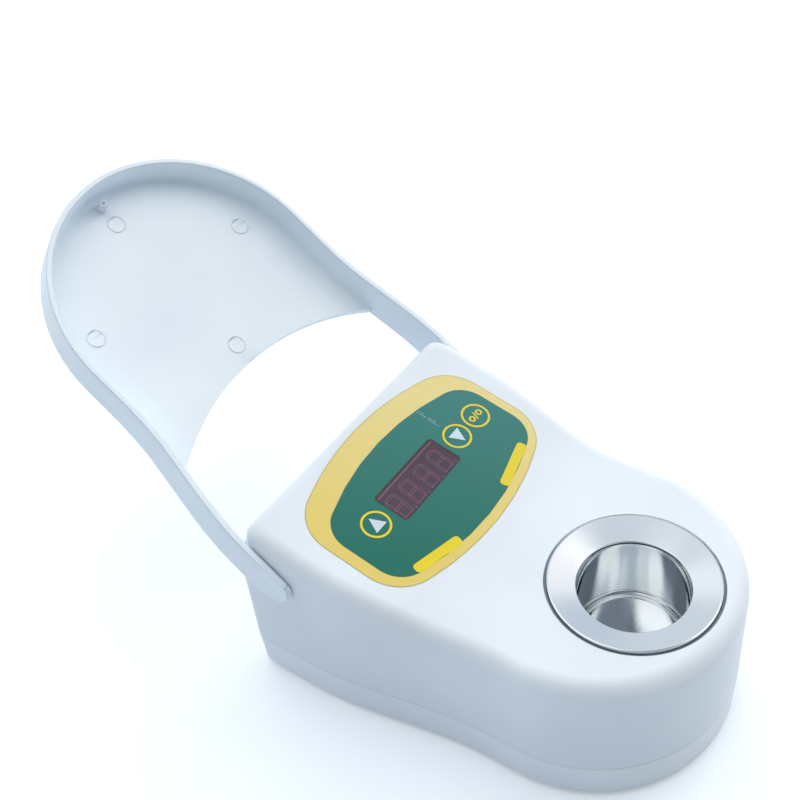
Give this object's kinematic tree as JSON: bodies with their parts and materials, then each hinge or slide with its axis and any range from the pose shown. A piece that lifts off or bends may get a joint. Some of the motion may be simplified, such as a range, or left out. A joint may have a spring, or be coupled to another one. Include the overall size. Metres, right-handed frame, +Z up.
{
  "type": "electric wax pot",
  "caption": "Bench wax dipping pot: a heated cup under a turned metal ring, a sloping panel with a display and keys, and a hinged lid on side arms, shown open.",
  "frame": {"origin": "middle of the overall length and width with the lid open, on the bench under the feet", "axes": "+X to the operator's right, +Y from the cup at the front towards the rear wall, +Z up"},
  "size_m": [0.1122, 0.2344, 0.1345],
  "materials": {
    "housing": "fine satin moulded plastic, cool white",
    "base": "fine satin moulded plastic, cool white",
    "feet": "matte black rubber",
    "screws": "zinc-plated steel",
    "lid": "satin moulded plastic, bluish white",
    "ring": "fine turned, satin",
    "gasket": "matte silicone rubber",
    "cup": "drawn and polished",
    "heater": "dull metal jacket",
    "fuse": "matte sleeve",
    "shield": "bright sheet",
    "probe": "brushed",
    "film": "printed film, green field with a straw-coloured border",
    "window": "dark plum clear plastic",
    "black_plastic": "matte black plastic",
    "board": "green circuit board",
    "key": "printed film, green with a yellow ring",
    "switch_can": "pressed steel can",
    "terminal": "green plastic",
    "sink": "extruded",
    "capacitor": "dark blue sleeve",
    "cable": "grey flat cable",
    "lead_white": "silicone sleeve",
    "lead_red": "silicone sleeve",
    "rocker": "satin black plastic"
  },
  "bodies": {
    "base": {"top_housing": "housing", "base_tray": "base", "rubber_feet": "feet", "case_screws": "screws", "pot_ring": "ring", "ring_gasket": "gasket", "ring_screws": "screws", "wax_cup": "cup", "band_heater": "heater", "heater_clamp_bolt": "screws", "thermal_fuse": "fuse", "heat_shield": "shield", "temperature_probe": "probe", "panel_film": "film", "display_window": "window", "display_module": "black_plastic", "display_board": "board", "display_board_screws": "screws", "controller_chip": "black_plastic", "key_switches": "switch_can", "power_board": "board", "power_board_screws": "screws", "terminal_block": "terminal", "power_transistor": "black_plastic", "heat_sink": "sink", "capacitors": "capacitor", "ribbon_cable": "cable", "heater_leads": "lead_white", "probe_leads": "lead_white", "power_leads": "lead_red", "power_socket": "black_plastic", "socket_nut": "screws", "switch_frame": "black_plastic"},
    "lid": {"lid": "lid"},
    "key_up_body": {"key_up": "key", "key_up_plunger": "black_plastic"},
    "key_down_body": {"key_down": "key", "key_down_plunger": "black_plastic"},
    "key_unit_body": {"key_unit": "key", "key_unit_plunger": "black_plastic"},
    "rocker": {"switch_rocker": "rocker"}
  },
  "joints": [
    {"name": "lid_hinge", "type": "hinge", "parent": "base", "child": "lid", "pos_m": [0, 0.00932, 0.0541], "axis": [1, 0, 0], "range_deg": [0, 143.5]},
    {"name": "key_up_press", "type": "slide", "parent": "base", "child": "key_up_body", "axis": [0, 0.2504, -0.9681], "range_m": [0, 0.0004], "stiffness_N_per_m": 300},
    {"name": "key_down_press", "type": "slide", "parent": "base", "child": "key_down_body", "axis": [0, 0.2504, -0.9681], "range_m": [0, 0.0004], "stiffness_N_per_m": 300},
    {"name": "key_unit_press", "type": "slide", "parent": "base", "child": "key_unit_body", "axis": [0, 0.2504, -0.9681], "range_m": [0, 0.0004], "stiffness_N_per_m": 300},
    {"name": "power_rocker", "type": "hinge", "parent": "base", "child": "rocker", "pos_m": [-0.024, 0.02191, 0.031], "axis": [0, 0, 1], "range_deg": [-16, 0]}
  ]
}
